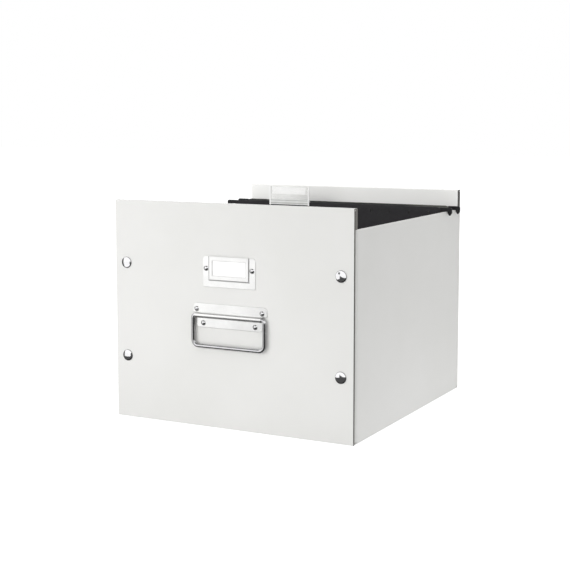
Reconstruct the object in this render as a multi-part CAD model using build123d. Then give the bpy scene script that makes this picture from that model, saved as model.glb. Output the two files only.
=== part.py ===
# Open-topped storage box for hanging files, made of laminated greyboard.
# The two end panels stand higher than the two side walls. The side walls' bare top edges are the rails
# on which a suspension file hangs by the hooks at the ends of its two steel bars.
# Each side wall has a flap at both ends. The flaps lie behind the end panels and are buttoned to them
# with press studs, four on each end panel, so the panels can be released and folded down.
# The front panel carries a riveted label holder with a slide-in card and a riveted bail handle.
#
# Frame: +X to the right seen from the front, +Y to the rear, +Z up, millimetres.
# Origin: centre of the footprint, on the surface the box stands on.
import os
from build123d import *

# ---------------------------------------------------------------- driving dimensions
W = 336.0            # outside width, side wall to side wall
D = 361.0            # depth, front face to rear face
H = 282.8            # height of the rear end panel
HF = 280.8           # height of the front end panel
HS = 255.5           # height of the side walls, the level the hooks rest on
T = 3.0              # board thickness, laminate included
GAP = 0.3            # clearance between a folding panel and the fixed boards

YF = -D / 2          # front face
YR = D / 2           # rear face
XI = W / 2 - T       # inner face of a side wall
REAR_X = (-164.7, 166.5)   # left and right edge of the rear end panel, a little inside the walls' outer faces

FLAP_W = 73.0        # width of a side wall's flap
FLAP_OFF = 6.4       # outer face of the end panel to the outer face of the flap
FLAP_TOP = 252.0
RIM_T = 6.4          # thickness of the doubled-back board behind each end panel's raised edge
CREASE_Z = (1.4, 2.6)   # height of the scored crease at the foot of each end panel
FOLD_R = 1.2         # outside radius of the board where it is folded over at a top edge
VOID_R = 1.1         # half the hollow that the fold leaves between its two plies
VOID_DROP = 2.1      # its centre, below the top edge

# press studs
STUD_X = 151.5
STUD_Z = (80.4, 200.8)
CAP_R = 7.3
CAP_H = 2.4
SOCKET_R = 5.2
STUD_R = 4.7
NUB_R = 2.0
BORE_R = 2.25

# label holder
LH_W, LH_Z0, LH_Z1 = 74.6, 177.0, 215.3      # stamped plate
PK_W, PK_Z0 = 56.6, 185.7                    # raised pocket, open at the top
WIN_W, WIN_Z0, WIN_Z1 = 47.2, 191.6, 209.9   # window in the pocket's front
SHEET = 0.6
PK_RISE = 1.7
PK_BEND = 1.1        # outside bend radius of the raised pocket
LRIV = (32.5, 200.3)

# handle
HP_X = (-51.6, 53.2)  # the plate sits a little to the right of the bail's middle
HP_TOP, HP_BOT, HP_LW = 156.2, 125.9, 93.4
HP_T = 0.8
BAR_Z = 141.4        # pivot of the bail
WIRE = 5.3
BAR_Y = YF - WIRE / 2 - 0.25
BAIL_X = 50.5        # leg centreline
BAIL_BOT = 102.7     # grip centreline
HRIV = ((46.4, 149.0), (36.8, 131.6))
RIV_R = 3.0
RIV_H = 2.0          # height of a rivet's domed head

# suspension file
FC = -2.75           # the file sits a little to the left of centre
CARD_HW = 160.5
RAIL_TOP = 261.3     # top of the card's hems
HOOK_TOP = 260.9
TANG_TOP = 259.2     # the bar is narrower at its ends, where the hooks are moulded on
FY, RY = 126.0, 158.1   # the two bars
FILE_BOT = 14.0
BASE_Y = (135.8, 148.3)
SLOT_PITCH = 28.6
SLOT_Z = 253.4
TAB_X = (-108.6, -43.4)
TAB_TOP = 283.2
INS_X = (-104.0, -49.6)


# ---------------------------------------------------------------- helpers
def bx(x0, x1, y0, y1, z0, z1):
    return Pos((x0 + x1) / 2, (y0 + y1) / 2, (z0 + z1) / 2) * Box(abs(x1 - x0), abs(y1 - y0), abs(z1 - z0))


def cy(x, z, y0, y1, r):
    """cylinder along Y"""
    return Pos(x, (y0 + y1) / 2, z) * Rot(90, 0, 0) * Cylinder(r, abs(y1 - y0))


def turned(points):
    """solid of revolution about Y from a closed outline of (radius, y) points"""
    return revolve(make_face(Polyline(*[(r, y, 0) for r, y in points], close=True)), Axis.Y, 360)


def plate_xz(x0, x1, z0, z1, y0, y1, radii):
    """flat plate between y0 and y1 with corner radii (bottom-left, bottom-right, top-right, top-left)"""
    s = bx(x0, x1, y0, y1, z0, z1)
    for (x, z), r in zip(((x0, z0), (x1, z0), (x1, z1), (x0, z1)), radii):
        if r:
            e = [e for e in s.edges().filter_by(Axis.Y)
                 if abs(e.center().X - x) < 0.01 and abs(e.center().Z - z) < 0.01]
            s = fillet(e, r)
    return s


def extrude_x(pts, x0, x1):
    """prism along X from (y, z) points"""
    f = make_face(Polyline(*[(x0, y, z) for y, z in pts], close=True))
    return extrude(f, amount=x1 - x0, dir=(1, 0, 0))


def extrude_y(pts, y0, y1):
    """prism along Y from (x, z) points"""
    f = make_face(Polyline(*[(x, y0, z) for x, z in pts], close=True))
    return extrude(f, amount=y1 - y0, dir=(0, 1, 0))


PARTS = {}


def put(name, *solids):
    PARTS[name] = solids[0] if len(solids) == 1 else Compound(children=[Solid(s.solid().wrapped) for s in solids])


# ---------------------------------------------------------------- boards
bottom = bx(-XI, XI, YF + T + GAP, YR - T - GAP, 0, T)
put("bottom_panel", bottom)


def side(sign):
    s = bx(sign * XI, sign * W / 2, YF + T + GAP, YR - T - GAP, 0, HS)
    for e in (-1, 1):                       # relief notch at the foot of each fold
        y0 = e * (D / 2 - T - GAP)
        s -= bx(sign * (XI + 0.6), sign * (W / 2 + 1), y0 + e * 1, y0 - e * 6.6, *CREASE_Z)
        yc = e * (D / 2 - FLAP_OFF - T - 0.6)   # scored crease where the flap is folded in
        s -= bx(sign * (W / 2 - 0.3), sign * (W / 2 + 1), yc - 0.45, yc + 0.45, -1, HS - 4)
    top = [e for e in s.edges().filter_by(Axis.Y) if e.center().Z > HS - 0.1 and e.length > 100]
    return fillet(top, 0.6)


put("left_side_panel", side(-1))
put("right_side_panel", side(1))


def flap(sx, sy):
    y_out, y_in = sy * (D / 2 - FLAP_OFF), sy * (D / 2 - FLAP_OFF - T)
    x_in = XI - FLAP_W
    s = bx(sx * x_in, sx * XI, y_out, y_in, T + 0.2, FLAP_TOP)
    e = [e for e in s.edges().filter_by(Axis.Y)
         if abs(e.center().X - sx * x_in) < 0.01]
    s = fillet(e, 12.0)
    for z in STUD_Z:
        s -= cy(sx * STUD_X, z, y_out - sy * -1, y_in - sy * 1, 1.6)
    return s


for sy, where in ((-1, "front"), (1, "rear")):
    for sx, hand in ((-1, "left"), (1, "right")):
        put(f"{where}_{hand}_flap", flap(sx, sy))

front = bx(-W / 2, W / 2, YF, YF + T, 0, HF)
rear = bx(*REAR_X, YR - T, YR, 0, H)
for sx in (-1, 1):
    for z in STUD_Z:
        front -= cy(sx * STUD_X, z, YF - 1, YF + T + 1, 2.5)
        rear -= cy(sx * STUD_X, z, YR - T - 1, YR + 1, 2.5)
    for x, z in (*HRIV, LRIV):
        front -= cy(sx * x, z, YF - 1, YF + T + 1, 1.6)
# scored crease along the foot of each end panel, open towards the inside: the panel folds down on it
front -= bx(-W, W, YF + 0.6, YF + T + 1, *CREASE_Z)
rear -= bx(-W, W, YR - T - 1, YR - 0.6, *CREASE_Z)


def folded(board, y_out, y_ply, top):
    """rounds a board's top edge at y_out and hollows it beside the other ply at y_ply"""
    e = [e for e in board.edges().filter_by(Axis.X)
         if e.center().Z > top - 0.1 and abs(e.center().Y - y_out) < 0.1]
    return fillet(e, FOLD_R) - Pos(0, y_ply, top - VOID_DROP) * Rot(0, 90, 0) * Cylinder(VOID_R, W + 2)


put("front_panel", folded(front, YF, YF + T, HF))
put("rear_panel", folded(rear, YR, YR - T, H))
put("front_rim", folded(bx(-W / 2, W / 2, YF + T, YF + T + RIM_T, HS + 0.2, HF), YF + T + RIM_T, YF + T, HF))
put("rear_rim", folded(bx(*REAR_X, YR - T - RIM_T, YR - T, HS + 0.2, H), YR - T - RIM_T, YR - T, H))

# ---------------------------------------------------------------- press studs
def domed(r, h_edge, h_top, y_face, soft):
    """domed disc standing h_top proud of y_face towards -Y, h_edge high at its rim"""
    rise = h_top - h_edge
    ball = (r * r + rise * rise) / (2 * rise)
    d = cy(0, 0, y_face - h_top, y_face, r) & (Pos(0, y_face - h_top + ball, 0) * Sphere(ball))
    rim = [e for e in d.edges() if abs(e.center().Y - (y_face - h_edge)) < 0.05 and e.length > r]
    d = fillet(rim, soft)
    return d


# outlines along +Y for the front panel: y = 0 is the panel's outer face, the flap lies behind it
CAP = domed(CAP_R, 0.7, CAP_H, 0.0, 0.35) + cy(0, 0, -0.2, T, 2.4)
SOCKET = turned([(BORE_R, T), (SOCKET_R, T), (SOCKET_R, T + 1.5), (SOCKET_R - 0.6, T + 2.2),
                 (SOCKET_R - 0.6, FLAP_OFF - 0.7), (BORE_R, FLAP_OFF - 0.7)])
STUD = turned([(0, FLAP_OFF), (STUD_R, FLAP_OFF), (STUD_R, FLAP_OFF - 0.6), (1.65, FLAP_OFF - 0.6),
               (1.65, FLAP_OFF - 1.4), (NUB_R, FLAP_OFF - 1.9), (NUB_R, FLAP_OFF - 2.5), (1.3, FLAP_OFF - 3.0),
               (0, FLAP_OFF - 3.0)])
POST = turned([(0, FLAP_OFF), (1.5, FLAP_OFF), (1.5, FLAP_OFF + T), (STUD_R, FLAP_OFF + T),
               (STUD_R, FLAP_OFF + T + 0.35), (STUD_R - 0.4, FLAP_OFF + T + 0.7), (0, FLAP_OFF + T + 0.7)])


def at_studs(shape, where):
    out = []
    for sx in (-1, 1):
        for z in STUD_Z:
            if where == "front":
                out.append(Pos(sx * STUD_X, YF, z) * shape)
            else:
                out.append(Pos(sx * STUD_X, YR, z) * Rot(0, 0, 180) * shape)
    return out


for where in ("front", "rear"):
    put(f"{where}_stud_caps", *at_studs(CAP, where))
    put(f"{where}_stud_sockets", *at_studs(SOCKET, where))
    put(f"{where}_studs", *at_studs(STUD, where))
    put(f"{where}_stud_posts", *at_studs(POST, where))

# ---------------------------------------------------------------- label holder
def eased(plate, y, r, keep=None):
    """rounds the edges of a plate's outline on its face at y, except those at height keep"""
    return fillet([e for e in plate.edges() if abs(e.center().Y - y) < 0.01 and abs(e.bounding_box().size.Y) < 0.01
                   and not (keep and abs(e.center().Z - keep) < 0.01)], r)


flange = eased(plate_xz(-LH_W / 2, LH_W / 2, LH_Z0, LH_Z1, YF - SHEET, YF, (2, 2, 4, 4)), YF - SHEET, 0.45)
flange -= bx(-PK_W / 2 + SHEET, PK_W / 2 - SHEET, YF - 2, YF + 1, PK_Z0 + SHEET, LH_Z1 + 5)
raised = bx(-PK_W / 2, PK_W / 2, YF - PK_RISE, YF, PK_Z0, LH_Z1)
e = [e for e in raised.edges() if abs(e.center().Y - (YF - PK_RISE)) < 0.01 and e.center().Z < LH_Z1 - 0.5]
raised = fillet(e, PK_BEND)
raised -= bx(-PK_W / 2 + SHEET, PK_W / 2 - SHEET, YF - PK_RISE + SHEET, YF + 1, PK_Z0 + SHEET, LH_Z1 + 5)
raised -= plate_xz(-WIN_W / 2, WIN_W / 2, WIN_Z0, WIN_Z1, YF - 4, YF + 1, (1, 1, 1, 1))
holder = flange + raised
for sx in (-1, 1):
    holder -= cy(sx * LRIV[0], LRIV[1], YF - 2, YF + 1, 1.6)
put("label_holder", holder)
put("label_card", bx(-27.2, 27.2, YF - 0.65, YF - 0.2, PK_Z0 + SHEET + 0.2, LH_Z1 - 0.4))


def rivet(x, z, grip):
    """domed rivet through a sheet of that thickness and the front panel, clinched behind"""
    head = domed(RIV_R, 0.3, RIV_H, -grip, 0.15)
    tail = cy(0, 0, T, T + 0.7, RIV_R)
    far = [e for e in tail.edges() if abs(e.center().Y - (T + 0.7)) < 0.01 and e.length > RIV_R]
    tail = fillet(far, 0.4)
    return Pos(x, YF, z) * (head + cy(0, 0, -grip - 0.2, T + 0.2, 1.5) + tail)


put("label_holder_rivets", *[rivet(sx * LRIV[0], LRIV[1], SHEET) for sx in (-1, 1)])

# ---------------------------------------------------------------- handle
R_IN, R_OUT = WIRE / 2 + 0.08, WIRE / 2 + 0.08 + HP_T
upper = eased(plate_xz(*HP_X, BAR_Z + R_IN, HP_TOP, YF - HP_T, YF, (1.5, 1.5, 5, 5)), YF - HP_T, 0.55, BAR_Z + R_IN)
lower = eased(plate_xz(-HP_LW / 2, HP_LW / 2, HP_BOT, BAR_Z - R_IN, YF - HP_T, YF, (3, 3, 0, 0)), YF - HP_T, 0.55, BAR_Z - R_IN)
barrel = Pos(0, BAR_Y, BAR_Z) * Rot(0, 90, 0) * Cylinder(R_OUT, HP_LW)
barrel += bx(-HP_LW / 2, HP_LW / 2, BAR_Y, YF, BAR_Z - R_OUT, BAR_Z + R_OUT)
barrel -= Pos(0, BAR_Y, BAR_Z) * Rot(0, 90, 0) * Cylinder(R_IN, HP_LW + 2)
barrel -= bx(-HP_LW / 2 - 1, HP_LW / 2 + 1, BAR_Y, YF + 2, BAR_Z - R_IN, BAR_Z + R_IN)
plate = upper + lower + barrel
for sx in (-1, 1):
    for x, z in HRIV:
        plate -= cy(sx * x, z, YF - 2, YF + 1, 1.6)
put("handle_plate", plate)
put("handle_rivets", *[rivet(sx * x, z, HP_T) for x, z in HRIV for sx in (-1, 1)])

# one bent wire, its ends butted inside the rolled barrel
pts = [(0.3, BAR_Y, BAR_Z), (BAIL_X, BAR_Y, BAR_Z), (BAIL_X, BAR_Y, BAIL_BOT),
       (-BAIL_X, BAR_Y, BAIL_BOT), (-BAIL_X, BAR_Y, BAR_Z), (-0.3, BAR_Y, BAR_Z)]
wire_path = FilletPolyline(*pts, radius=[4.0, 7.5, 7.5, 4.0])
section = Plane(origin=pts[0], z_dir=(1, 0, 0)) * Circle(WIRE / 2)
put("bail_handle", sweep(section, path=wire_path))

# ---------------------------------------------------------------- suspension file
def hem(yc):
    """the card folded round the steel bar"""
    outer = bx(FC - CARD_HW, FC + CARD_HW, yc - 1.1, yc + 1.1, 255.4, RAIL_TOP)
    e = [e for e in outer.edges().filter_by(Axis.X) if e.center().Z > RAIL_TOP - 0.1]
    outer = fillet(e, 0.9)
    for s in (-1, 1):                        # trimmed corners
        outer -= extrude_y([(FC + s * (CARD_HW + 0.1), RAIL_TOP - 1.4), (FC + s * (CARD_HW + 0.1), RAIL_TOP + 0.2),
                            (FC + s * (CARD_HW - 5.2), RAIL_TOP + 0.2)], yc - 3, yc + 3)
    outer -= bx(FC - CARD_HW + 7, FC + CARD_HW - 7, yc - 0.65, yc + 0.65, 255.9, RAIL_TOP - 0.5)
    return outer - bx(FC - CARD_HW - 1, FC + CARD_HW + 1, yc - 0.65, yc + 0.65, 255.9, TANG_TOP + 0.1)


TH = 0.7
card = extrude_x(
    [(FY - 0.75, 255.6), (FY - 0.75 + TH, 255.6),
     (BASE_Y[0] + TH, FILE_BOT + TH), (BASE_Y[1] - TH, FILE_BOT + TH),
     (RY + 0.75 - TH, 255.6), (RY + 0.75, 255.6),
     (BASE_Y[1], FILE_BOT), (BASE_Y[0], FILE_BOT)],
    FC - CARD_HW, FC + CARD_HW)
card = card + hem(FY) + hem(RY)
for k in range(-5, 6):                       # punched slots for the index tab
    x = FC + k * SLOT_PITCH
    card -= bx(x - 1.3, x + 1.3, FY - 3, FY + 3, SLOT_Z - 2.2, SLOT_Z + 1.9)
put("file_card", card)


def rail(yc):
    r = bx(FC - CARD_HW + 7.1, FC + CARD_HW - 7.1, yc - 0.6, yc + 0.6, 256.0, RAIL_TOP - 0.6)
    return r + bx(FC - 168.5, FC + 168.5, yc - 0.6, yc + 0.6, 257.2, TANG_TOP)


def hook(yc, s):
    """plastic hook moulded on the bar's end, s = side; its outer leg ends in a rounded point"""
    z_bear = HS + 0.1
    x0, x1, x2, x3 = CARD_HW + 0.1, 162.0, 171.5, 177.6
    xt, z_sh, z_tip = (x2 + x3) / 2, 253.7, 248.9
    corners = [((x0, 252.0), 0.5), ((x0, HOOK_TOP), 0), ((x3, HOOK_TOP), 2.2), ((x3, z_sh), 2.6), ((xt, z_tip), 1.2),
               ((x2, z_sh), 2.6), ((x2, z_bear), 0.6), ((x1, z_bear), 0.6), ((x1, 252.0), 0.5)]
    h = extrude_y([(FC + s * x, z) for (x, z), r in corners], yc - 1.35, yc + 1.35)
    for (x, z), r in corners:
        if r:
            e = [e for e in h.edges().filter_by(Axis.Y)
                 if abs(e.center().X - (FC + s * x)) < 0.02 and abs(e.center().Z - z) < 0.02]
            h = fillet(e, r)
    return h - bx(FC - 168.6, FC + 168.6, yc - 0.65, yc + 0.65, 257.15, TANG_TOP + 0.05)


for yc, where in ((FY, "front"), (RY, "rear")):
    put(f"{where}_rail", rail(yc))
    put(f"{where}_rail_hooks", hook(yc, -1), hook(yc, 1))

# clear index tab that saddles the front bar, with a paper insert
tx0, tx1 = TAB_X
yc = FY
z_sad = RAIL_TOP + 0.3
tab = bx(tx0, tx1, yc - 2.0, yc - 1.3, 256.2, z_sad + 1.0)           # front leg
tab += bx(tx0, tx1, yc - 2.0, yc + 2.0, z_sad, z_sad + 1.0)          # saddle
tab += bx(tx0, tx1, yc + 1.3, yc + 2.0, 256.0, z_sad + 1.0)          # rear leg
tab += bx(tx0, tx1, yc - 2.0, yc - 1.2, z_sad + 1.0, 272.0)          # web
tab += bx(tx0, tx1, yc - 2.0, yc - 1.4, 271.4, TAB_TOP)     # front of the sleeve
tab += bx(tx0, tx1, yc - 0.8, yc - 0.2, 271.4, TAB_TOP)     # back of the sleeve
tab += bx(tx0, tx1, yc - 2.0, yc - 0.2, 271.4, 272.2)       # floor of the sleeve
tab += bx(tx0, tx1, yc - 2.0, yc - 0.2, TAB_TOP - 0.6, TAB_TOP)   # closed top
for k in (-3, -2):                           # pegs that reach through the punched slots
    x = FC + k * SLOT_PITCH
    tab += bx(x - 0.9, x + 0.9, yc - 2.0, yc + 2.0, 252.4, 253.8)
    tab += bx(x - 0.9, x + 0.9, yc + 1.3, yc + 2.0, 252.4, 256.4)
put("index_tab", tab)
put("tab_insert", bx(INS_X[0], INS_X[1], yc - 1.25, yc - 0.95, 272.5, TAB_TOP - 0.8))

# ---------------------------------------------------------------- write
os.makedirs("parts", exist_ok=True)
for f in os.listdir("parts"):
    if f.endswith(".step") and f[:-5] not in PARTS:
        os.remove(os.path.join("parts", f))
for name, shape in PARTS.items():
    export_step(shape, f"parts/{name}.step")
print(len(PARTS), "nodes")
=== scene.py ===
import math

import bpy
from mathutils import Matrix, Vector

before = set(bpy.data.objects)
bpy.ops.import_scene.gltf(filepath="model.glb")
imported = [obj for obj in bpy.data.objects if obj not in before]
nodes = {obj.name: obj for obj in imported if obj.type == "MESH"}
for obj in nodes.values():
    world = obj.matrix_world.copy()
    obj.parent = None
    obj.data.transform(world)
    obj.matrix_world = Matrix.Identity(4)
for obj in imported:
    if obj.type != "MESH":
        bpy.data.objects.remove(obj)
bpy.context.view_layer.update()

scene = bpy.context.scene
MM = 0.001

# main sizes of the box, in millimetres
W, D, H, HS, T = 336.0, 361.0, 282.8, 255.5, 3.0
YF, YR = -D / 2, D / 2


# ------------------------------------------------------------------ node graphs
class Graph:
    """short calls for building a shader graph"""

    def __init__(self, tree):
        self.tree = tree

    def node(self, kind, **settings):
        n = self.tree.nodes.new(kind)
        for k, v in settings.items():
            setattr(n, k, v)
        return n

    def put(self, socket, value):
        if isinstance(value, bpy.types.NodeSocket):
            self.tree.links.new(value, socket)
        elif value is not None:
            if hasattr(socket.default_value, "__len__") and not hasattr(value, "__len__"):
                value = [value] * len(socket.default_value)
            if hasattr(value, "__len__") and len(socket.default_value) == 4 and len(value) == 3:
                value = [*value, 1.0]
            socket.default_value = value

    def math(self, op, a, b=None, c=None, clamp=False):
        n = self.node("ShaderNodeMath", operation=op, use_clamp=clamp)
        for s, v in zip(n.inputs, (a, b, c)):
            if v is not None:
                self.put(s, v)
        return n.outputs[0]

    def mul(self, a, b):
        return self.math("MULTIPLY", a, b)

    def add(self, a, b):
        return self.math("ADD", a, b)

    def sub(self, a, b):
        return self.math("SUBTRACT", a, b)

    def step(self, x, lo, hi):
        """0 below lo, 1 above hi, smooth between; falls instead where hi is under lo"""
        n = self.node("ShaderNodeMapRange", interpolation_type="SMOOTHSTEP", clamp=True)
        self.put(n.inputs["Value"], x)
        if hi >= lo:
            self.put(n.inputs["From Min"], lo)
            self.put(n.inputs["From Max"], hi)
            self.put(n.inputs["To Min"], 0.0)
            self.put(n.inputs["To Max"], 1.0)
        else:
            self.put(n.inputs["From Min"], hi)
            self.put(n.inputs["From Max"], lo)
            self.put(n.inputs["To Min"], 1.0)
            self.put(n.inputs["To Max"], 0.0)
        return n.outputs["Result"]

    def band(self, x, lo, hi, soft):
        return self.mul(self.step(x, lo - soft, lo + soft), self.step(x, hi + soft, hi - soft))

    def mix(self, fac, a, b, blend="MIX"):
        n = self.node("ShaderNodeMix", data_type="RGBA", blend_type=blend)
        self.put(n.inputs[0], fac)
        self.put(n.inputs[6], a)
        self.put(n.inputs[7], b)
        return n.outputs[2]

    def ramp(self, fac, stops, interpolation="LINEAR"):
        n = self.node("ShaderNodeValToRGB")
        n.color_ramp.interpolation = interpolation
        els = n.color_ramp.elements
        while len(els) < len(stops):
            els.new(0.5)
        for e, (pos, col) in zip(els, stops):
            e.position = pos
            e.color = (*col, 1.0) if hasattr(col, "__len__") else (col, col, col, 1.0)
        self.put(n.inputs[0], fac)
        return n.outputs[0]

    def vec(self, x, y, z):
        n = self.node("ShaderNodeCombineXYZ")
        for s, v in zip(n.inputs, (x, y, z)):
            self.put(s, v)
        return n.outputs[0]

    def split(self, v):
        n = self.node("ShaderNodeSeparateXYZ")
        self.put(n.inputs[0], v)
        return n.outputs[0], n.outputs[1], n.outputs[2]

    def scaled(self, v, sx, sy, sz):
        n = self.node("ShaderNodeVectorMath", operation="MULTIPLY")
        self.put(n.inputs[0], v)
        n.inputs[1].default_value = (sx, sy, sz)
        return n.outputs[0]

    def noise(self, v, scale, detail=2.0, rough=0.5, distortion=0.0):
        n = self.node("ShaderNodeTexNoise", noise_dimensions="3D")
        self.put(n.inputs["Vector"], v)
        self.put(n.inputs["Scale"], scale)
        self.put(n.inputs["Detail"], detail)
        self.put(n.inputs["Roughness"], rough)
        self.put(n.inputs["Distortion"], distortion)
        return n.outputs[0]

    def voronoi(self, v, scale, feature="F1"):
        n = self.node("ShaderNodeTexVoronoi", feature=feature)
        self.put(n.inputs["Vector"], v)
        self.put(n.inputs["Scale"], scale)
        return n.outputs["Distance"]

    def bump(self, height, distance, strength=1.0, normal=None):
        n = self.node("ShaderNodeBump")
        self.put(n.inputs["Height"], height)
        self.put(n.inputs["Distance"], distance)
        self.put(n.inputs["Strength"], strength)
        if normal is not None:
            self.put(n.inputs["Normal"], normal)
        return n.outputs[0]


def shader(name, base, rough, normal=None, **sockets):
    """a Principled material; base, rough and normal may be sockets of its own graph, made by a function"""
    m = bpy.data.materials.new(name)
    m.use_nodes = True
    m.node_tree.nodes.clear()
    g = Graph(m.node_tree)
    out = g.node("ShaderNodeOutputMaterial")
    p = g.node("ShaderNodeBsdfPrincipled")
    co = g.node("ShaderNodeTexCoord")
    g.P, g.N = co.outputs["Object"], co.outputs["Normal"]
    g.x, g.y, g.z = g.split(g.P)
    g.nx, g.ny, g.nz = g.split(g.N)
    g.put(p.inputs["Base Color"], base(g) if callable(base) else base)
    g.put(p.inputs["Roughness"], rough(g) if callable(rough) else rough)
    if normal is not None:
        g.put(p.inputs["Normal"], normal(g))
    for k, v in sockets.items():
        g.put(p.inputs[k.replace("_", " ")], v(g) if callable(v) else v)
    g.tree.links.new(p.outputs[0], out.inputs["Surface"])
    m["graph"] = True
    return m, g, p, out


# ------------------------------------------------------------------ materials
WHITE = (0.845, 0.845, 0.832)


def board(name, cut, pale=0.0, crease_shade=0.0):
    """White matt laminate over greyboard. cut(g) is 1 on the faces where the board was cut and lies bare."""
    keep = {}

    def masks(g):
        if "cut" not in keep:
            keep["cut"] = cut(g)
            # plies: noise drawn out along the board and packed across its thickness
            keep["ply"] = g.noise(g.scaled(g.P, 60, 2600, 60), 1.0, 3.0, 0.6)
            keep["fibre"] = g.noise(g.scaled(g.P, 900, 900, 900), 1.0, 4.0, 0.65)
            keep["peel"] = g.noise(g.P, 1400.0, 2.0, 0.5)
            keep["wide"] = g.noise(g.P, 9.0, 3.0, 0.55)
        return keep

    def base(g):
        k = masks(g)
        clean = g.mix(g.step(k["wide"], 0.3, 0.7), (0.836, 0.836, 0.820), (0.858, 0.857, 0.845))
        specks = g.step(g.noise(g.P, 2300.0, 1.0, 0.5), 0.72, 0.80)
        clean = g.mix(g.mul(specks, 0.10), clean, (0.60, 0.59, 0.57))
        raw = g.ramp(k["ply"], [(0.25, (0.060, 0.058, 0.056)), (0.5, (0.100, 0.097, 0.092)), (0.75, (0.150, 0.146, 0.138))])
        raw = g.mix(g.mul(g.step(k["fibre"], 0.54, 0.74), 0.45), raw, (0.26, 0.25, 0.235))
        raw = g.mix(g.mul(g.step(k["fibre"], 0.44, 0.28), 0.60), raw, (0.034, 0.033, 0.032))
        if pale:    # the bare cut at the front end is drawn paler than at the rear
            raw = g.mix(g.mul(g.step(g.y, 0.01, -0.01), pale), raw, (0.34, 0.33, 0.31))
        if crease_shade:  # painted shade: the laminate is drawn darker where the wall is creased into its front flap
            clean = g.mix(g.mul(g.step(g.y, -0.1750, -0.1775), crease_shade), clean, (0.20, 0.20, 0.19))
            clean = g.mix(g.mul(g.step(g.y, -0.1660, -0.1775), crease_shade * 0.45), clean, (0.30, 0.30, 0.29))
        return g.mix(k["cut"], clean, raw)

    def rough(g):
        k = masks(g)
        film = g.add(0.42, g.mul(k["wide"], 0.10))
        return g.add(film, g.mul(k["cut"], 0.42))

    def normal(g):
        k = masks(g)
        film = g.mul(k["peel"], 0.16)
        raw = g.add(k["ply"], k["fibre"])
        h = g.node("ShaderNodeMix", data_type="FLOAT")
        g.put(h.inputs[0], k["cut"])
        g.put(h.inputs[2], film)
        g.put(h.inputs[3], raw)
        return g.bump(h.outputs[0], 0.00012, 0.55)

    return shader(name, base, rough, normal, Specular_IOR_Level=0.42)[0]


def cut_sides(g):
    """bare at the board's left and right ends"""
    return g.step(g.math("ABSOLUTE", g.nx), 0.50, 0.80)


def cut_sides_and_foot(g):
    return g.math("MAXIMUM", cut_sides(g), g.step(g.nz, -0.86, -0.96))


def cut_around(g):
    """bare at every edge but the broad faces, which look along Y"""
    return g.step(g.math("ABSOLUTE", g.ny), 0.40, 0.20)


def cut_none(g):
    return g.mul(g.step(g.nz, -0.97, -0.99), 0.0)


BOARD_PANEL = board("laminated_board_end", cut_sides)
BOARD_RIM = board("laminated_board_rim", cut_sides_and_foot, pale=0.55)
BOARD_FLAP = board("laminated_board_flap", cut_around)
BOARD_WALL = board("laminated_board_wall", cut_none, crease_shade=0.55)


def metal(name, colour, rough_lo, rough_hi, brushed=None, scratch=0.25, depth=0.00001, painted_shade=None, **more):
    def base(g):
        n = g.noise(g.P, 45.0, 3.0, 0.6)
        dark = tuple(c * 0.94 for c in colour)
        c = g.mix(g.step(n, 0.35, 0.65), dark, colour)
        # painted shade: the mask passed in darkens the metal towards dark grey
        return g.mix(painted_shade(g), c, (0.13, 0.13, 0.13)) if painted_shade else c

    def rough(g):
        n = g.noise(g.P, 160.0, 4.0, 0.65)
        s = g.noise(g.scaled(g.P, *(brushed or (300, 300, 300))), 1.0, 2.0, 0.5)
        return g.add(rough_lo, g.mul(g.mul(n, s), (rough_hi - rough_lo) * 3.2))

    def normal(g):
        s = g.noise(g.scaled(g.P, *(brushed or (500, 500, 500))), 1.0, 3.0, 0.55)
        return g.bump(s, depth, scratch)

    return shader(name, base, rough, normal, Metallic=1.0, **more)[0]


def shade_ring(g, x, z, r0, r1):
    """painted shade mask: 1 on the lower left of a ring about a rivet's centre, in metres"""
    dx, dz = g.sub(g.x, x), g.sub(g.z, z)
    r = g.math("SQRT", g.add(g.mul(dx, dx), g.mul(dz, dz)))
    return g.mul(g.band(r, r0, r1, 0.0002), g.step(g.add(g.mul(dx, 0.8), dz), 0.0022, -0.0008))


def shade_rings(g, centres, r0, r1):
    out = None
    for x, z in centres:
        one = shade_ring(g, x, z, r0, r1)
        out = one if out is None else g.math("MAXIMUM", out, one)
    return out


HOLDER_RIVETS = [(-0.0325, 0.2003), (0.0325, 0.2003)]
HANDLE_RIVETS = [(-0.0464, 0.1490), (0.0464, 0.1490), (-0.0368, 0.1316), (0.0368, 0.1316)]


CAPS = [(-0.1515, 0.2008), (0.1515, 0.2008), (-0.1515, 0.0804), (0.1515, 0.0804)]


def painted_cap_rim_shade(g):
    """painted shade and painted dark reflection: a dark line round the rim of each press-stud cap, wider along its
    lower side
    """
    out = None
    for x, z in CAPS:
        dx, dz = g.sub(g.x, x), g.sub(g.z, z)
        r = g.math("SQRT", g.add(g.mul(dx, dx), g.mul(dz, dz)))
        low = g.mul(g.band(r, 0.0060, 0.0076, 0.0002), g.mul(g.step(dz, -0.0020, -0.0042), 1.6))
        one = g.math("MAXIMUM", g.band(r, 0.00665, 0.0076, 0.0002), low)
        out = one if out is None else g.math("MAXIMUM", out, one)
    return g.mul(out, 0.55)


def painted_leg_reflection(g):
    """painted dark reflection and shade: the wire's legs are drawn darker on their right sides"""
    tall = g.band(g.z, 0.1055, 0.1375, 0.0012)
    both = g.math("MAXIMUM", g.band(g.x, -0.0508, -0.0476, 0.0002), g.band(g.x, 0.0502, 0.0534, 0.0002))
    return g.mul(g.mul(tall, both), 0.36)


POLISHED = metal("polished_steel", (0.86, 0.86, 0.87), 0.05, 0.12, painted_shade=painted_cap_rim_shade)
PLATED = metal("plated_steel", (0.66, 0.66, 0.67), 0.24, 0.38)


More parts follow.
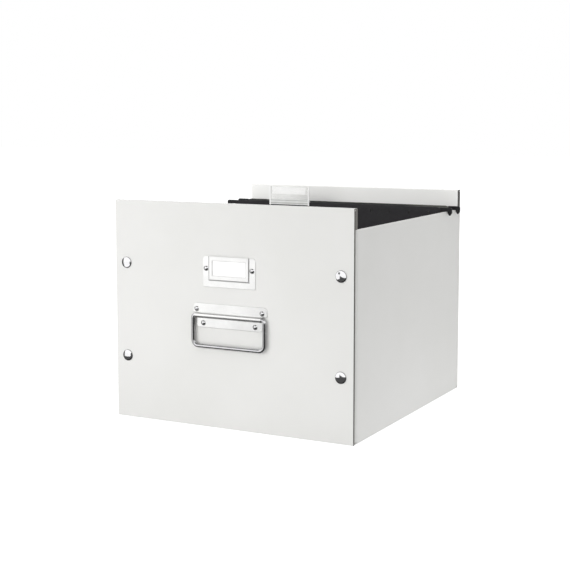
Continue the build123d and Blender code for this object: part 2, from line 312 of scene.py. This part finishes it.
def painted_pocket_shade(g):
    """painted shade: dark lines in the crease round the foot of the label holder's raised pocket, and rings round its
    rivets
    """
    tall = g.band(g.z, 0.1853, 0.2157, 0.0003)
    left = g.mul(g.band(g.x, -0.0291, -0.0280, 0.00025), tall)
    right = g.mul(g.band(g.x, 0.0282, 0.0290, 0.00025), tall)
    foot = g.mul(g.band(g.z, 0.1848, 0.1859, 0.00025), g.band(g.x, -0.0291, 0.0291, 0.0003))
    sill = g.mul(g.band(g.x, -0.0242, 0.0242, 0.0003), g.band(g.z, 0.1909, 0.2105, 0.0003))
    lines = g.math("MAXIMUM", g.math("MAXIMUM", g.mul(left, 0.72), g.mul(foot, 0.62)),
                   g.math("MAXIMUM", g.mul(right, 0.35), g.mul(sill, 0.22)))
    return g.math("MAXIMUM", lines, g.mul(shade_rings(g, HOLDER_RIVETS, 0.0028, 0.0036), 0.75))


# the handle plate gets painted shade in a ring round the lower left of each rivet
NICKEL = metal("nickel_plate", (0.97, 0.97, 0.96), 0.23, 0.32, brushed=(35, 900, 1900), scratch=0.30,
               painted_shade=lambda g: g.mul(shade_rings(g, HANDLE_RIVETS, 0.0028, 0.0036), 0.75))
# rivet heads, with painted shade round their lower rims
RIVET = metal("rivet_steel", (0.84, 0.84, 0.85), 0.06, 0.14,
              painted_shade=lambda g: g.mul(shade_rings(g, HOLDER_RIVETS + HANDLE_RIVETS, 0.0018, 0.0034), 0.80))
NICKEL_HOLDER = metal("nickel_holder", (0.97, 0.97, 0.96), 0.23, 0.32, brushed=(35, 900, 1900), scratch=0.30,
                      painted_shade=painted_pocket_shade)
CHROME = metal("chrome_wire", (0.66, 0.66, 0.67), 0.06, 0.13, brushed=(700, 700, 700), scratch=0.15,
               painted_shade=painted_leg_reflection)


def paper(name, colour, grain=0.00004, rough_value=0.78):
    def base(g):
        f = g.noise(g.P, 2600.0, 3.0, 0.6)
        cloud = g.noise(g.P, 60.0, 2.0, 0.5)
        lo = tuple(c * 0.965 for c in colour)
        c = g.mix(g.step(cloud, 0.3, 0.7), lo, colour)
        return g.mix(g.mul(g.step(f, 0.60, 0.75), 0.12), c, tuple(v * 0.86 for v in colour))

    def normal(g):
        return g.bump(g.noise(g.P, 2200.0, 4.0, 0.7), grain, 0.6)

    return shader(name, base, lambda g: g.add(rough_value - 0.04, g.mul(g.noise(g.P, 300.0), 0.08)), normal,
                  Specular_IOR_Level=0.3)[0]


PAPER = paper("white_card", (0.965, 0.965, 0.962))


def black_card():
    def base(g):
        f = g.noise(g.scaled(g.P, 1.0, 1.0, 1.0), 1500.0, 4.0, 0.7)
        long_fibre = g.noise(g.scaled(g.P, 260, 260, 1400), 1.0, 3.0, 0.6)
        c = g.ramp(g.mul(g.add(f, long_fibre), 0.5), [(0.30, (0.014, 0.013, 0.016)), (0.55, (0.021, 0.020, 0.023)),
                                                     (0.80, (0.040, 0.038, 0.042))])
        # the rear half, seen from its inner side, is drawn lighter and greener
        rear = g.step(g.y, 0.150, 0.156)
        c = g.mix(g.mul(rear, 0.50), c, (0.075, 0.077, 0.069))
        # a paler band on the right end of the rear hem's top
        pale_band = g.mul(g.mul(g.step(g.x, 0.085, 0.125), rear), g.step(g.z, 0.2500, 0.2535))
        return g.mix(g.mul(pale_band, 0.75), c, (0.165, 0.168, 0.150))

    def normal(g):
        f = g.noise(g.P, 1800.0, 4.0, 0.7)
        w = g.noise(g.P, 55.0, 2.0, 0.5)
        return g.bump(w, 0.0006, 0.25, g.bump(f, 0.00006, 0.7))

    return shader("black_card", base, lambda g: g.add(0.50, g.mul(g.noise(g.P, 500.0), 0.22)), normal,
                  Specular_IOR_Level=0.45)[0]


BLACK_CARD = black_card()


def speckled_black(name, colour, rough_value, scale, depth, coat=0.0, gloss=0.5):
    def base(g):
        n = g.noise(g.P, 120.0, 3.0, 0.6)
        return g.mix(g.step(n, 0.35, 0.65), colour, tuple(c * 1.6 + 0.004 for c in colour))

    def normal(g):
        return g.bump(g.voronoi(g.P, scale), depth, 0.5)

    return shader(name, base, lambda g: g.add(rough_value - 0.05, g.mul(g.noise(g.P, 240.0), 0.12)), normal,
                  Coat_Weight=coat, Coat_Roughness=0.18, Specular_IOR_Level=gloss)[0]


BLACK_STEEL = speckled_black("black_steel", (0.020, 0.020, 0.021), 0.34, 900.0, 0.00003, 0.35)
BLACK_PLASTIC = speckled_black("black_plastic", (0.006, 0.006, 0.007), 0.40, 1500.0, 0.00003, gloss=0.30)


def clear_plastic():
    """clear in the sleeve that shows the insert, and milky where the plastic is ribbed and folded over the bar"""
    def tone(g):
        c = g.mix(g.step(g.noise(g.P, 90.0, 2.0, 0.5), 0.3, 0.7), (0.80, 0.81, 0.80), (0.88, 0.89, 0.88))
        # painted shade: two dark lines along the ribs on the foot
        rib_shade = g.math("MAXIMUM", g.band(g.z, 0.2628, 0.2636, 0.0002), g.band(g.z, 0.2588, 0.2597, 0.0002))
        c = g.mix(g.mul(rib_shade, 0.80), c, (0.34, 0.34, 0.33))
        return g.mix(g.math("MAXIMUM", g.step(g.x, -0.1060, -0.1068), g.step(g.x, -0.0460, -0.0452)), c, (0.97, 0.97, 0.97))

    m, g, p, out = shader(
        "clear_plastic", tone,
        lambda g: g.add(0.10, g.mul(g.noise(g.P, 400.0, 3.0, 0.6), 0.12)),
        lambda g: g.bump(g.noise(g.P, 140.0, 2.0, 0.5), 0.0002, 0.25), IOR=1.49, Specular_IOR_Level=0.6)
    g.tree.links.remove(out.inputs["Surface"].links[0])
    t = g.node("ShaderNodeBsdfTransparent")
    g.put(t.inputs["Color"], (1.0, 1.0, 1.0))
    ends = g.math("MAXIMUM", g.step(g.x, -0.1060, -0.1068), g.step(g.x, -0.0460, -0.0452))
    low = g.step(g.z, 0.2656, 0.2648)
    milk = g.add(0.035, g.mul(g.step(g.z, 0.2718, 0.2712), 0.07))
    milk = g.math("MAXIMUM", milk, g.mul(low, 0.80))
    milk = g.mul(milk, g.step(g.z, 0.2567, 0.2575))
    milk = g.math("MAXIMUM", milk, g.mul(ends, 0.90))
    mix = g.node("ShaderNodeMixShader")
    g.put(mix.inputs[0], milk)
    g.tree.links.new(t.outputs[0], mix.inputs[1])
    g.tree.links.new(p.outputs[0], mix.inputs[2])
    g.tree.links.new(mix.outputs[0], out.inputs["Surface"])
    return m


CLEAR = clear_plastic()

for names, mat in (
    (("front_panel", "rear_panel"), BOARD_PANEL),
    (("front_rim", "rear_rim"), BOARD_RIM),
    (("front_left_flap", "front_right_flap", "rear_left_flap", "rear_right_flap"), BOARD_FLAP),
    (("left_side_panel", "right_side_panel", "bottom_panel"), BOARD_WALL),
    (("front_stud_caps", "rear_stud_caps"), POLISHED),
    (("label_holder_rivets", "handle_rivets"), RIVET),
    (("front_stud_sockets", "rear_stud_sockets", "front_studs", "rear_studs", "front_stud_posts", "rear_stud_posts"), PLATED),
    (("label_holder",), NICKEL_HOLDER),
    (("handle_plate",), NICKEL),
    (("bail_handle",), CHROME),
    (("label_card", "tab_insert"), PAPER),
    (("file_card",), BLACK_CARD),
    (("front_rail", "rear_rail"), BLACK_STEEL),
    (("front_rail_hooks", "rear_rail_hooks"), BLACK_PLASTIC),
    (("index_tab",), CLEAR),
):
    for n in names:
        nodes[n].data.materials.clear()
        nodes[n].data.materials.append(mat)


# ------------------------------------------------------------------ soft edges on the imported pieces
def edge_group():
    t = bpy.data.node_groups.new("smooth_by_angle", "GeometryNodeTree")
    t.interface.new_socket("Geometry", in_out="INPUT", socket_type="NodeSocketGeometry")
    t.interface.new_socket("Geometry", in_out="OUTPUT", socket_type="NodeSocketGeometry")
    i, o = t.nodes.new("NodeGroupInput"), t.nodes.new("NodeGroupOutput")
    faces = t.nodes.new("GeometryNodeSetShadeSmooth")
    faces.domain = "FACE"
    edges = t.nodes.new("GeometryNodeSetShadeSmooth")
    edges.domain = "EDGE"
    edges.inputs["Shade Smooth"].default_value = False
    angle = t.nodes.new("GeometryNodeInputMeshEdgeAngle")
    more = t.nodes.new("FunctionNodeCompare")
    more.data_type, more.operation = "FLOAT", "GREATER_THAN"
    more.inputs[1].default_value = math.radians(38)
    t.links.new(angle.outputs["Unsigned Angle"], more.inputs[0])
    t.links.new(more.outputs[0], edges.inputs["Selection"])
    t.links.new(i.outputs[0], faces.inputs["Geometry"])
    t.links.new(faces.outputs[0], edges.inputs["Geometry"])
    t.links.new(edges.outputs[0], o.inputs[0])
    return t


SMOOTH = edge_group()


def soften(name, width, segments=3, angle=35):
    """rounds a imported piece's sharp edges by that width, in millimetres"""
    o = nodes[name]
    bpy.context.view_layer.objects.active = o
    with bpy.context.temp_override(object=o, active_object=o, selected_objects=[o], selected_editable_objects=[o]):
        bpy.ops.mesh.customdata_custom_splitnormals_clear()
    w = o.modifiers.new("weld", "WELD")
    w.merge_threshold = 0.000002
    d = o.modifiers.new("planes", "DECIMATE")
    d.decimate_type = "DISSOLVE"
    d.angle_limit = math.radians(0.6)
    b = o.modifiers.new("edges", "BEVEL")
    b.width = width * MM
    b.segments = segments
    b.limit_method = "ANGLE"
    b.angle_limit = math.radians(angle)
    b.use_clamp_overlap = True
    b.harden_normals = False
    s = o.modifiers.new("smooth", "NODES")
    s.node_group = SMOOTH
    n = o.modifiers.new("normals", "WEIGHTED_NORMAL")
    n.keep_sharp = True
    n.weight = 90


for n in ("front_panel", "rear_panel", "front_rim", "rear_rim"):
    soften(n, 0.22)
for n in ("left_side_panel", "right_side_panel", "bottom_panel", "front_left_flap", "front_right_flap", "rear_left_flap",
          "rear_right_flap"):
    soften(n, 0.20)
soften("label_holder", 0.12, 2)
soften("handle_plate", 0.16, 2)
soften("front_rail_hooks", 0.30, 3)
soften("rear_rail_hooks", 0.30, 3)
soften("front_rail", 0.15, 2)
soften("rear_rail", 0.15, 2)
soften("index_tab", 0.10, 2)

# ------------------------------------------------------------------ camera
AZ, EL, ROLL = math.radians(27.736), math.radians(6.132), math.radians(-0.045)
back = Vector((math.sin(AZ) * math.cos(EL), -math.cos(AZ) * math.cos(EL), math.sin(EL)))
cam_data = bpy.data.cameras.new("camera")
cam = bpy.data.objects.new("camera", cam_data)
scene.collection.objects.link(cam)
cam_data.sensor_width = 36.0
cam_data.sensor_fit = "AUTO"
cam_data.lens = 36.0 * 1254.8 / 570.0
cam_data.shift_y = -0.07
cam_data.clip_start, cam_data.clip_end = 0.05, 40.0
cam.rotation_mode = "QUATERNION"
cam.location = (0.770374, -1.498520, 0.394156)
cam.rotation_quaternion = (-back).to_track_quat("-Z", "Y") @ Matrix.Rotation(ROLL, 3, "Z").to_quaternion()
scene.camera = cam

# ------------------------------------------------------------------ studio
scene.view_settings.view_transform = "Standard"
scene.view_settings.look = "None"
scene.view_settings.exposure = 0.0
scene.view_settings.gamma = 1.0

world = bpy.data.worlds.new("studio")
scene.world = world
world.use_nodes = True
world.node_tree.nodes.clear()
g = Graph(world.node_tree)
out = g.node("ShaderNodeOutputWorld")
light_path = g.node("ShaderNodeLightPath")
co = g.node("ShaderNodeTexCoord")
dx, dy, dz = g.split(co.outputs["Generated"])
el = g.math("ARCSINE", dz)
seen = g.node("ShaderNodeBackground")
g.put(seen.inputs["Color"], (1, 1, 1))
g.put(seen.inputs["Strength"], 1.0)
fill = g.node("ShaderNodeBackground")
g.put(fill.inputs["Color"], (1.0, 1.0, 0.995))
g.put(fill.inputs["Strength"], 0.565)
sheen = g.node("ShaderNodeBackground")
g.put(sheen.inputs["Color"], (1, 1, 1))
g.put(sheen.inputs["Strength"], g.add(0.14, g.mul(g.step(el, math.radians(50), math.radians(40)), 1.06)))
m1 = g.node("ShaderNodeMixShader")
g.put(m1.inputs[0], light_path.outputs["Is Glossy Ray"])
g.tree.links.new(fill.outputs[0], m1.inputs[1])
g.tree.links.new(sheen.outputs[0], m1.inputs[2])
m2 = g.node("ShaderNodeMixShader")
g.put(m2.inputs[0], light_path.outputs["Is Camera Ray"])
g.tree.links.new(m1.outputs[0], m2.inputs[1])
g.tree.links.new(seen.outputs[0], m2.inputs[2])
g.tree.links.new(m2.outputs[0], out.inputs["Surface"])


def sheet_mesh(name, corners):
    me = bpy.data.meshes.new(name)
    me.from_pydata([Vector(c) for c in corners], [], [tuple(range(len(corners)))])
    o = bpy.data.objects.new(name, me)
    scene.collection.objects.link(o)
    return o


def plain(name, colour, strength=None):
    m = bpy.data.materials.new(name)
    m.use_nodes = True
    m.node_tree.nodes.clear()
    g = Graph(m.node_tree)
    o = g.node("ShaderNodeOutputMaterial")
    if strength is None:
        s = g.node("ShaderNodeBsdfDiffuse")
        g.put(s.inputs["Color"], colour)
    else:
        s = g.node("ShaderNodeEmission")
        g.put(s.inputs["Color"], colour)
        g.put(s.inputs["Strength"], strength)
    g.tree.links.new(s.outputs[0], o.inputs[0])
    return m


# floor: plain white sweep, bright enough to read as paper white
floor = sheet_mesh("floor", [(-9, -9, -0.0005), (9, -9, -0.0005), (9, 9, -0.0005), (-9, 9, -0.0005)])
fm = bpy.data.materials.new("floor_white")
fm.use_nodes = True
fm.node_tree.nodes.clear()
g = Graph(fm.node_tree)
o = g.node("ShaderNodeOutputMaterial")
lp = g.node("ShaderNodeLightPath")
matt = g.node("ShaderNodeBsdfDiffuse")
g.put(matt.inputs["Color"], (0.80, 0.80, 0.795))
glow = g.node("ShaderNodeEmission")
g.put(glow.inputs["Strength"], 1.0)
both = g.node("ShaderNodeAddShader")
half = g.node("ShaderNodeBsdfDiffuse")
g.put(half.inputs["Color"], (0.40, 0.40, 0.40))
g.tree.links.new(glow.outputs[0], both.inputs[0])
g.tree.links.new(half.outputs[0], both.inputs[1])
mirror = g.node("ShaderNodeEmission")
g.put(mirror.inputs["Strength"], 1.12)
ma = g.node("ShaderNodeMixShader")
g.put(ma.inputs[0], lp.outputs["Is Glossy Ray"])
g.tree.links.new(matt.outputs[0], ma.inputs[1])
g.tree.links.new(mirror.outputs[0], ma.inputs[2])
mb = g.node("ShaderNodeMixShader")
g.put(mb.inputs[0], lp.outputs["Is Camera Ray"])
g.tree.links.new(ma.outputs[0], mb.inputs[1])
g.tree.links.new(both.outputs[0], mb.inputs[2])
g.tree.links.new(mb.outputs[0], o.inputs[0])
floor.data.materials.append(fm)


def flag(name, corners, value):
    """a dark card that only shows as a reflection in the metal"""
    c = sheet_mesh(name, corners)
    c.data.materials.append(plain(name, (1, 1, 1), value))
    c.visible_camera = c.visible_diffuse = c.visible_shadow = c.visible_transmission = False
    c.visible_glossy = True
    return c


def standing(name, az0, az1, dist, z0, z1, value):
    """a dark card standing round the box between two azimuths, in degrees from the front"""
    a0, a1 = math.radians(az0), math.radians(az1)
    p0 = (math.sin(a0) * dist, -math.cos(a0) * dist)
    p1 = (math.sin(a1) * dist, -math.cos(a1) * dist)
    return flag(name, [(*p0, z0), (*p1, z0), (*p1, z1), (*p0, z1)], value)


# the floor near the box reflects dark, with its bright part beyond and to the front left
flag("flag_near", [(-0.70, -0.240, 0.0003), (-0.40, -0.290, 0.0003), (-0.295, -0.350, 0.0003), (-0.240, -0.375, 0.0003),
                   (-0.187, -0.385, 0.0003), (-0.135, -0.550, 0.0003), (-0.150, -0.690, 0.0003), (0.70, -0.690, 0.0003),
                   (0.70, -0.181, 0.0003), (-0.70, -0.181, 0.0003)], 0.085)
flag("flag_right", [(0.45, -0.68, 0.0005), (1.50, -2.40, 0.0005), (3.0, -2.4, 0.0005), (3.0, 1.2, 0.0005), (0.40, 1.2, 0.0005),
                    (0.20, -0.20, 0.0005)], 0.085)
flag("flag_rest", [(-0.35, -0.27, 0.0007), (-0.71, -0.47, 0.0007), (-2.60, -1.20, 0.0007), (-3.0, -1.20, 0.0007),
                   (-3.0, 1.4, 0.0007), (-0.20, 0.30, 0.0007)], 0.085)
# a low stand in front of the box that rises to a narrow post at its left end
flag("flag_stand", [(-0.155, -0.685, 0.0), (-0.150, -0.685, 0.10), (-0.128, -0.685, 0.24), (-0.105, -0.685, 0.24),
                    (-0.085, -0.685, 0.17), (0.044, -0.685, 0.115), (0.15, -0.685, 0.070), (0.24, -0.685, 0.058),
                    (0.45, -0.685, 0.052), (0.45, -0.685, 0.0)], 0.085)
flag("flag_spot", [(0.0210, -0.3940, 0.240), (-0.0340, -0.3455, 0.240), (-0.0340, -0.3455, 0.302), (0.0210, -0.3940, 0.302)], 0.05)
standing("flag_camera", 36, 100, 2.2, 0.0, 0.35, 0.10)
flag("flag_left", [(-0.71, -0.48, 0.0), (-0.80, -0.02, 0.0), (-0.80, -0.02, 0.40), (-0.71, -0.48, 0.38)], 0.085)


def area(name, loc, target, size, power, colour=(1, 1, 1)):
    l = bpy.data.lights.new(name, "AREA")
    l.shape = "RECTANGLE"
    l.size, l.size_y = size
    l.energy = power
    l.color = colour
    o = bpy.data.objects.new(name, l)
    scene.collection.objects.link(o)
    o.location = loc
    o.rotation_mode = "QUATERNION"
    o.rotation_quaternion = (Vector(target) - Vector(loc)).to_track_quat("-Z", "Y")
    o.visible_glossy = False
    o.visible_camera = False
    return o


area("key", (-0.88, -1.45, 0.46), (0, -0.1, 0.14), (1.0, 0.8), 8.8, (1.0, 0.995, 0.985))
area("top", (0.0, -0.1, 2.4), (0, 0, 0), (2.2, 2.2), 16.0)
area("low_right", (0.42, 0.0, 0.02), (0.168, 0.0, 0.03), (0.5, 0.04), 0.16)
area("low_front", (0.07, -0.43, 0.008), (0.07, -0.18, 0.03), (0.3, 0.012), 0.06)
area("back", (-0.3, 2.6, 1.0), (0, 0.1, 0.12), (1.8, 1.4), 13.0)
inner = area("rear_inner", (-0.9, -1.4, 1.1), (0, 0.17, 0.27), (1.0, 0.8), 16.4)
lit = bpy.data.collections.new("lit_by_rear_inner")
for n in ("rear_rim", "rear_panel"):
    lit.objects.link(nodes[n])
inner.light_linking.receiver_collection = lit
cards = area("cards", (-0.5, -1.3, 0.7), (-0.04, -0.05, 0.24), (0.7, 0.6), 7.0)
lit = bpy.data.collections.new("lit_by_cards")
for n in ("label_card", "tab_insert", "index_tab"):
    lit.objects.link(nodes[n])
cards.light_linking.receiver_collection = lit
